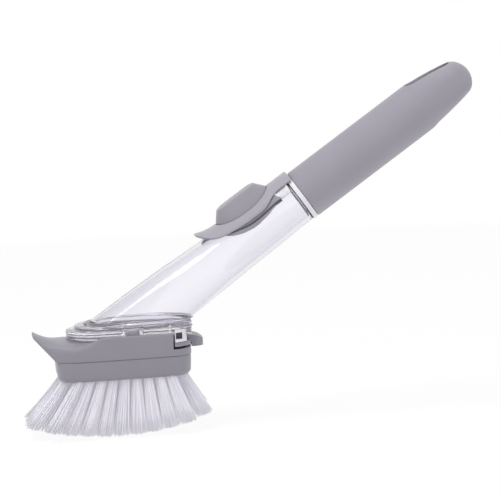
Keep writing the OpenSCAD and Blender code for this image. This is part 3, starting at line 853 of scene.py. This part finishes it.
def make_collar():
    """Clear pad that stands on the tube behind the gasket, under the bezel's tail."""
    centre = (-8.8, 0.0)
    edge = spokes(rounded(-13.2, -4.3, 24.6, 2.0, 1.0), centre, LEAF)
    sides = ((0.3, 13.9), (0.0, 14.3), (0.0, 15.4), (0.12, 15.65), (0.35, 15.75))
    core = mix(edge, [centre] * LEAF, 0.9)
    rings = [laid(inset(edge, less), radius) for less, radius in sides]
    rings += [laid(core, 15.75), laid(core, 13.9)]
    return solid("tube_collar", rings, loop=True)


piece(make_collar(), "reservoir", clear_neck, "clear_plastic")


def make_button():
    """The button's cap: a saddle over the gasket, steep sides and a slightly crowned top."""
    base = spokes(button_outline(0.0), LEAF_CENTRE, LEAF)
    top = spokes(
        rounded(LEAF_CENTRE[0] - 12.65, LEAF_CENTRE[0] + 12.65, 13.0, 5.5, 5.5), LEAF_CENTRE, LEAF
    )

    def lifted(ring, n0, n1, t):
        """Between the saddle that the base follows and a flat plane at n1."""
        out = []
        for s, y in ring:
            saddle = math.sqrt(n0 * n0 - y * y)
            out.append(along(s, y, saddle + (n1 - saddle) * t))
        return out

    crown = BUTTON_TOP - 0.5
    rings = [
        lifted(mix(base, [LEAF_CENTRE] * LEAF, 0.95), 15.95, crown, 0.0),
        lifted(inset(base, 1.4), 15.95, crown, 0.0),
        lifted(inset(base, 0.1), 15.95, crown, 0.0),
        lifted(base, 16.4, crown, 0.0),
        lifted(mix(base, top, 0.06), 16.6, crown, 0.1),
        lifted(mix(base, top, 0.35), 16.6, crown, 0.4),
        lifted(mix(base, top, 0.65), 16.6, crown, 0.7),
        lifted(mix(base, top, 0.88), 16.6, crown, 0.915),
        lifted(mix(base, top, 0.96), 16.6, crown, 0.975),
        lifted(inset(top, 0.3), 16.6, crown, 1.0),
        lifted(inset(top, 1.2), 16.6, crown + 0.22, 1.0),
        lifted(mix(top, [LEAF_CENTRE] * LEAF, 0.45), 16.6, crown + 0.45, 1.0),
        lifted(mix(top, [LEAF_CENTRE] * LEAF, 0.8), 16.6, crown + 0.5, 1.0),
    ]
    return solid("push_button_cap", rings, sharp=50)


piece(make_button(), "button", button_rubber, "button_plastic", "push_button")


# Handle

HANDLE_R, HANDLE_END = 14.8, 117.5
UPPER_FLAT, LOWER_FLAT = (85.2, 0.187), (82.4, 0.172)  # where each starts, how fast it drops
END_R = 7.0
SLOT_S0, SLOT_S1, SLOT_W = 83.0, 111.3, 10.0


def grip_depth(s, kink, taper):
    """The grip's radius, less a taper that sets in softly at the kink."""
    past = s - kink
    return HANDLE_R - taper * (past + math.sqrt(past * past + 1.0)) / 2


def grip_section(s, flat):
    """Half depth, towards one of the two flats, and half width of the grip at s."""
    depth, width = grip_depth(s, *flat), HANDLE_R
    nose = max(0.0, (s - HANDLE_END + END_R) / END_R)
    depth *= math.sqrt(max(1 - nose * nose, 0))
    round_end = HANDLE_END - HANDLE_R + 1.0
    if s > round_end:
        width *= math.sqrt(max(1 - ((s - round_end) / (HANDLE_END - round_end)) ** 2, 0))
    return depth, width


def slot_tool():
    """The hanging slot, with bell-mouthed edges."""
    levels = (
        (-20, 2.4), (-13.6, 0.9), (-12.2, 0.3), (-11.0, 0.0), (11.0, 0.0), (12.2, 0.3),
        (13.6, 0.9), (20, 2.4),
    )
    rings = []
    for n, grow in levels:
        end_r = SLOT_W / 2 + grow
        outline = rounded(SLOT_S0 - grow * 0.4, SLOT_S1 + grow * 0.4, 2 * end_r, end_r, end_r)
        ring = spokes(outline, ((SLOT_S0 + SLOT_S1) / 2, 0.0), 96)
        rings.append([along(s, y, n) for s, y in ring])
    return solid("tool", rings)


def make_grip():
    """The grip: round in front, squarer and flatter towards its end."""
    stations = list(np.linspace(0.6, 82, 21)) + list(np.linspace(83, 110, 28))
    stations += [HANDLE_END - END_R + END_R * math.sin(math.radians(a)) for a in range(4, 90, 4)]
    rings = [round_section(0.0, HANDLE_R - 2.4, 0), round_section(0.0, HANDLE_R - 0.5, 0),
             round_section(0.15, HANDLE_R - 0.15, 0)]
    for s in stations:
        upper, width = grip_section(s, UPPER_FLAT)
        lower, _ = grip_section(s, LOWER_FLAT)
        power = 2 + 1.1 * smooth((s - 83) / 22)
        ring = []
        for k in range(TURN):
            a = 2 * math.pi * k / TURN
            ca, sa = math.cos(a), math.sin(a)
            depth = lower if ca > 0 else upper
            y, n = width * signed_power(sa, 2 / power), -depth * signed_power(ca, 2 / power)
            ring.append(along(s, y, n))
        rings.append(ring)
    return carve(solid("handle_grip_soft", rings), slot_tool(), sharp=40)


piece(make_grip(), "handle", soft_grip, "soft_grip", "handle_grip")


# Brush head

HEAD_CENTRE = (HEAD_X, 0.0)
RIM = 300  # points round each ring of the block
DRIP_R = 2.5


def drip_tool(z0, z1):
    """The hole through which the soap drips, from one height to the other."""
    return solid("tool", [level(spokes(round_outline(DRIP_R), FOOT_CENTRE, 48), z) for z in (z0, z1)])


def make_block():
    """Lower half of the head, with a rounded lower edge."""
    edge = spokes(head_outline(), HEAD_CENTRE, RIM)
    low, corner = BRISTLE_H + 0.8, 3.0
    rings = [level(inset(edge, 6), low)]
    for turn in range(0, 91, 15):
        a = math.radians(turn)
        less, rise = 0.7 + corner * (1 - math.sin(a)), corner * (1 - math.cos(a))
        rings.append(level(inset(edge, less), low + rise))
    rings += [
        level(inset(edge, 0.4), SEAM_Z - 4),
        level(inset(edge, 0.32), SEAM_Z - 0.5),
        level(inset(edge, 0.38), SEAM_Z - 0.2),
        level(inset(edge, 0.6), SEAM_Z - 0.05),
        level(inset(edge, 2.6), SEAM_Z - 0.02),
        level(inset(edge, 3.6), SEAM_Z - 0.02),
        level(inset(edge, 3.6), BRISTLE_H + 7.6),
    ]
    return carve(solid("brush_block_body", rings), drip_tool(20, 50))


piece(make_block(), "head", head_abs, "head_plastic", "brush_block")

# heights of the carrier's top along X, at its side edge and at its middle
edge_height = curve_through(
    [(-45.8, 58.2), (-43.0, 55.6), (-39.9, 53.2), (-36.5, 52.1), (-33.3, 51.6), (-28.5, 51.2),
     (-24.0, 51.3), (-20.5, 51.7), (-17.8, 52.4), (-14.5, 53.5), (-11.7, 54.7), (-9.0, 55.7),
     (-7.0, 56.15), (-5.0, 56.3), (10.0, 56.3), (43.2, 56.3)]
)
scoop_height = curve_through(
    [(-45.8, 59.0), (-42.0, 57.0), (-38.0, 55.4), (-33.0, 54.5), (-28.0, 54.3), (-10.0, 54.3),
     (43.2, 54.3)]
)
flank_width = curve_through(
    [(-45.8, 6.0), (-45.2, 7.6), (-43.6, 9.5), (-39.0, 12.9), (-36.0, 15.1), (-33.8, 17.2),
     (-31.0, 20.1), (-28.0, 22.5), (-25.0, 23.8), (-21.0, 24.29), (-17.0, 24.49)]
)
TRAY_HALF_W = 20.5
FLANK_END_X = -19.0  # from here on back the carrier is as wide as the head
WALL_END_X = REAR_X - 10.5  # where the side walls stop at the open rear corners
WALL_END_R = 0.8
REAR_WALL_Z = SEAM_Z + 4.0
TIP_RISE = 13.1  # how far the scraper's underside climbs to its tip


def carrier_half_width(x):
    """Half width of the head's upper half at x: flanks in front, round corners at the rear."""
    if x < FLANK_END_X:
        return flank_width(x)
    width = HEAD_W / 2 - SIDE_BULGE * ((x - HEAD_X) / (HEAD_L / 2)) ** 2
    past = HEAD_CORNER - (REAR_X - x)
    if past > 0:
        width = min(width, HEAD_W / 2 - HEAD_CORNER + math.sqrt(max(HEAD_CORNER**2 - past**2, 0)))
    return width


def carrier_section(x, open_top=False):
    """Section of the carrier across X, from the middle of its underside all round.

    In it w is the half width, wt that of the wall's top, and e how deep the wall's rounding is.
    """
    w = carrier_half_width(x)
    low = SEAM_Z + 0.02 + TIP_RISE * max(0.0, (FRONT_X - x) / (FRONT_X - TIP_X))
    edge, mid = edge_height(x), scoop_height(x)
    rear = smooth((x + 15) / 7)
    if open_top:
        edge = mid = REAR_WALL_Z
        rear = 0.0
    e = min(0.9 + 1.9 * (1 - rear) * (not open_top), (edge - low) * 0.42)
    corner = max(0.0, (x - WALL_END_X + WALL_END_R) / WALL_END_R) * (not open_top)
    wt = w - WALL_END_R * (1 - math.sqrt(max(1 - corner * corner, 0)))
    step = min(low + 0.6 + (edge - e - low) * 0.4, max(REAR_WALL_Z, low + 0.6))
    if open_top:
        step, wt = edge - e - 0.1, w
    half = [
        (0, low), (w * 0.55, low), (w - 0.5, low), (w - 0.2, low + 0.05), (w - 0.05, low + 0.2),
        (w, low + 0.45), (w, step), (wt, step + 0.05), (wt, edge - e),
        (wt - 0.07 * e, edge - 0.62 * e), (wt - 0.29 * e, edge - 0.29 * e),
        (wt - 0.62 * e, edge - 0.07 * e),
    ]
    tray = [(21.6, edge), (20.9, edge), (20.6, edge - 0.12), (TRAY_HALF_W, edge - 0.4),
            (TRAY_HALF_W, mid), (14.0, mid), (7.0, mid), (0, mid)]
    # forwards of the tray the same points follow the scoop's curve instead
    for (y, z), share in zip(tray, (0.92, 0.86, 0.8, 0.72, 0.6, 0.42, 0.22, 0.0)):
        yf, zf = (wt - e) * share / 0.92, mid - (mid - edge) * min(1, share / 0.92) ** 2.6
        half.append((yf + (y - yf) * rear, zf + (z - zf) * rear))
    return [at(x, y, z) for y, z in half] + [at(x, -y, z) for y, z in reversed(half[1:-1])]


def make_carrier():
    """Upper half of the head: the scraper, the scoop behind it, the tray and the rails' slots."""
    stations = [TIP_X + 0.02, TIP_X + 0.25, TIP_X + 0.6, TIP_X + 1.2, TIP_X + 2.2]
    stations += list(np.arange(TIP_X + 3.2, FRONT_X, 1.1)) + [FRONT_X]
    stations += list(np.arange(FRONT_X + 0.9, -5, 0.9)) + list(np.arange(-5, WALL_END_X - 1.2, 3.0))
    stations += [
        WALL_END_X - WALL_END_R * (1 - math.sin(math.radians(a))) for a in range(0, 91, 15)
    ]
    rings = [carrier_section(x) for x in stations]
    tail = [WALL_END_X + 0.01, WALL_END_X + 1.5]
    tail += [REAR_X - HEAD_CORNER * (1 - math.sin(math.radians(a))) for a in range(26, 90, 4)]
    rings += [carrier_section(x, True) for x in tail]
    carrier = solid("head_carrier_body", rings, sharp=32)
    hollow = solid("tool", [
        level(spokes(rounded(-16.5, REAR_X - 2.6, 44.6, 3, 10.4), HEAD_CENTRE, 96), z)
        for z in (SEAM_Z - 5, CAVITY_Z)
    ])
    slots = [
        box_tool((-16.2, y - 1.3, CAVITY_Z - 1), (80, y + 1.3, DECK_Z + 1)) for y in (-13.0, 13.0)
    ]
    return carve(carrier, hollow, *slots, drip_tool(20, 70), sharp=32)


piece(make_carrier(), "head", head_abs, "head_plastic", "head_carrier")


# Bristles

ROWS, COLUMNS = 7, 11
FILAMENTS = 96
FILAMENT_R = 0.23  # drawn coarser than a usual one's 0.15 mm, so that it shows
TIP_CROWN = 6.0  # how far the trimmed tips rise towards the ends
HOLE_PITCH_X, HOLE_PITCH_Y = 6.35, 6.3
TIP_PITCH_X, TIP_PITCH_Y = 9.65, 9.6
TIP_SPREAD = 4.4  # radius of a tuft at its tips
FAN_POWER = 1.12  # a little over 1, so that a filament bends outwards
GOLDEN_ANGLE = 2.399963  # turns each filament's place away from the last one's
rng = np.random.default_rng(7)


def tip_plane(i, x):
    """Height of the trimmed tips at x, near the tuft of column i."""
    share = 2 / (COLUMNS - 1)
    crown = TIP_CROWN * (1.3 if i > 0 else 0.95)
    return crown * ((i * share) ** 2 + 2 * i * share**2 * (x / TIP_PITCH_X - i))


def make_row(row):
    """One row of tufts, each a fan of filaments from its hole to the trimmed tips."""
    bm = bmesh.new()
    shade = bm.verts.layers.float.new("filament")
    j = row - (ROWS - 1) / 2
    for column in range(COLUMNS):
        i = column - (COLUMNS - 1) / 2
        # none in the corners and none over the drip hole
        if (abs(j) > 2.5 and abs(i) > 4.5) or (j == 0 and i == 1):
            continue
        root = np.array([HEAD_X + i * HOLE_PITCH_X, j * HOLE_PITCH_Y])
        tip = np.array([i * TIP_PITCH_X, j * TIP_PITCH_Y])
        hole_r = 2.9 if abs(i) > 3 else 2.4
        for f in range(FILAMENTS):
            share = math.sqrt((f + 0.5) / FILAMENTS)
            a = f * GOLDEN_ANGLE + rng.uniform(-0.3, 0.3)
            off = np.array([math.cos(a), math.sin(a)]) * share
            stray = np.clip(rng.normal(0, 0.4, 2), -0.8, 0.8)
            start, end = root + off * hole_r, tip + off * TIP_SPREAD + stray
            top = BRISTLE_H + 3
            bottom = max(0.0, tip_plane(i, end[0])) + min(abs(rng.normal(0, 0.4)), 1.2)
            bottom += 0.15 * j * j
            tone = rng.uniform(0, 1)
            rings = []
            for t in (0, 0.12, 0.4, 0.7, 1):
                x, y = start + (end - start) * t**FAN_POWER
                z = top + (bottom - top) * t
                rings.append(
                    [at(x + FILAMENT_R * math.cos(b + a), y + FILAMENT_R * math.sin(b + a), z)
                     for b in (0, math.pi / 2, math.pi, 3 * math.pi / 2)]
                )
            for ring in skin(bm, rings):
                for v in ring:
                    v[shade] = tone
    return object_of("bristle_row_%d" % (row + 1), bm, sharp=180)


for row in range(ROWS):
    piece(make_row(row), "head", nylon, "nylon", "tuft_row_%d" % (row + 1))


# Nodes that keep their CAD shape

for node, mat in {
    "outlet_valve": milky_silicone,
    "valve_retainer": inner_pp,
    "neck_seal": gasket_silicone,
    "handle_socket": inner_pp,
    "handle_core": inner_pp,
    "tuft_anchors": anchor_brass,
    "release_tab": head_abs,
}.items():
    dress(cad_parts[node], mat)


# Floor, light and camera

FLOOR_R = 1.6  # metres
FADE_FROM, FADE_TO = 0.3, 0.9  # metres from the middle, where the floor turns to plain white
FLOOR_GLOW = 0.9  # at least this share of its brightness is its own, so shadows stay faint
WORLD_LIGHT = 0.56  # what lights the pieces; the camera, reflections and clear pieces see 1


def make_floor():
    """Pale floor that keeps a soft shadow and fades into the white at its rim."""
    bm = bmesh.new()
    bmesh.ops.create_circle(bm, cap_ends=True, segments=96, radius=FLOOR_R)
    for v in bm.verts:
        v.co.z = -0.3 * MM
    floor = object_of("floor", bm)
    m, tree, p = material(
        "pale_floor", Base_Color=colour("#ffffff"), Roughness=0.9, Specular_IOR_Level=0.0
    )
    path = add(tree, "ShaderNodeLightPath")
    glow = add(tree, "ShaderNodeEmission", Strength=1.0)
    place = add(tree, "ShaderNodeNewGeometry")
    reach = add(tree, "ShaderNodeVectorMath", [(0, place, "Position")], operation="LENGTH")
    rim = add(
        tree,
        "ShaderNodeMapRange",
        [("Value", reach, "Value")],
        From_Min=FADE_FROM,
        From_Max=FADE_TO,
    )
    own = add(tree, "ShaderNodeMath", [(0, rim, "Result")], operation="MAXIMUM")
    own.inputs[1].default_value = FLOOR_GLOW
    lit = add(tree, "ShaderNodeMixShader", [(1, p, "BSDF"), (2, glow, "Emission"), (0, own, 0)])
    sees = add(
        tree,
        "ShaderNodeMath",
        [(0, path, "Is Glossy Ray"), (1, path, "Is Transmission Ray")],
        operation="MAXIMUM",
    )
    out = add(tree, "ShaderNodeMixShader", [(0, sees, 0), (1, lit, 0), (2, glow, 0)])
    tree.links.new(out.outputs[0], tree.nodes["Material Output"].inputs["Surface"])
    dress(floor, m)


make_floor()


def make_world():
    """White surroundings that light the pieces less brightly than they look."""
    world = bpy.data.worlds.new("studio")
    bpy.context.scene.world = world
    world.use_nodes = True
    tree = world.node_tree
    tree.nodes.clear()
    path = add(tree, "ShaderNodeLightPath")
    sees = add(
        tree,
        "ShaderNodeMath",
        [(0, path, "Is Camera Ray"), (1, path, "Is Glossy Ray")],
        operation="MAXIMUM",
    )
    sees = add(
        tree,
        "ShaderNodeMath",
        [(0, sees, 0), (1, path, "Is Transmission Ray")],
        operation="MAXIMUM",
    )
    soft = add(tree, "ShaderNodeBackground", Color=colour("#ffffff"), Strength=WORLD_LIGHT)
    white = add(tree, "ShaderNodeBackground", Color=colour("#ffffff"), Strength=1.0)
    both = add(tree, "ShaderNodeMixShader", [(0, sees, 0), (1, soft, 0), (2, white, 0)])
    out = tree.nodes.new("ShaderNodeOutputWorld")
    tree.links.new(both.outputs[0], out.inputs["Surface"])


make_world()


def lamp(name, place, target, size, watts):
    """Round soft lamp at a place, turned to its target, in metres."""
    data = bpy.data.lights.new(name, "AREA")
    data.shape, data.size, data.energy = "DISK", size, watts
    obj = bpy.data.objects.new(name, data)
    obj.location = place
    obj.rotation_euler = (Vector(target) - Vector(place)).to_track_quat("-Z", "Y").to_euler()
    obj.visible_glossy = False  # else the lamp shows as a bright disc on the clear tube
    bpy.context.scene.collection.objects.link(obj)


lamp("key_softbox", (-0.35, -0.35, 1.4), (0.08, 0, 0.1), 0.9, 12.0)
lamp("fill_softbox", (1.1, -1.2, 0.6), (0.08, 0, 0.1), 0.9, 3.0)

# the photograph's view: nearly square to the side, a little above it, the picture rolled
AZIMUTH, ELEVATION, ROLL = math.radians(-5.0), math.radians(7.5), math.radians(3.15)
MM_PER_PIXEL = 0.57
ORIGIN_PIXEL = (118.5, 429.0)
PICTURE = 500
LENS, SENSOR = 300.0, 36.0  # long, because the photograph's lines hardly converge


def make_camera():
    """Camera whose picture has the part's origin at its pixel, at the given scale."""
    right = Vector((math.cos(AZIMUTH), math.sin(AZIMUTH), 0))
    up = Vector(
        (-math.sin(AZIMUTH) * math.sin(ELEVATION), math.cos(AZIMUTH) * math.sin(ELEVATION),
         math.cos(ELEVATION))
    )
    right, up = (
        right * math.cos(ROLL) - up * math.sin(ROLL),
        right * math.sin(ROLL) + up * math.cos(ROLL),
    )
    back = right.cross(up)
    width = PICTURE * MM_PER_PIXEL * MM
    across = (PICTURE / 2 - ORIGIN_PIXEL[0]) * MM_PER_PIXEL * MM
    rise = (ORIGIN_PIXEL[1] - PICTURE / 2) * MM_PER_PIXEL * MM
    place = right * across + up * rise + back * (width * LENS / SENSOR)
    data = bpy.data.cameras.new("camera")
    data.lens, data.sensor_width = LENS, SENSOR
    data.clip_start, data.clip_end = 0.01, 50
    camera = bpy.data.objects.new("camera", data)
    camera.matrix_world = Matrix(
        [
            (right.x, up.x, back.x, place.x),
            (right.y, up.y, back.y, place.y),
            (right.z, up.z, back.z, place.z),
            (0, 0, 0, 1),
        ]
    )
    bpy.context.scene.collection.objects.link(camera)
    bpy.context.scene.camera = camera


make_camera()
bpy.context.scene.view_settings.view_transform = "Standard"
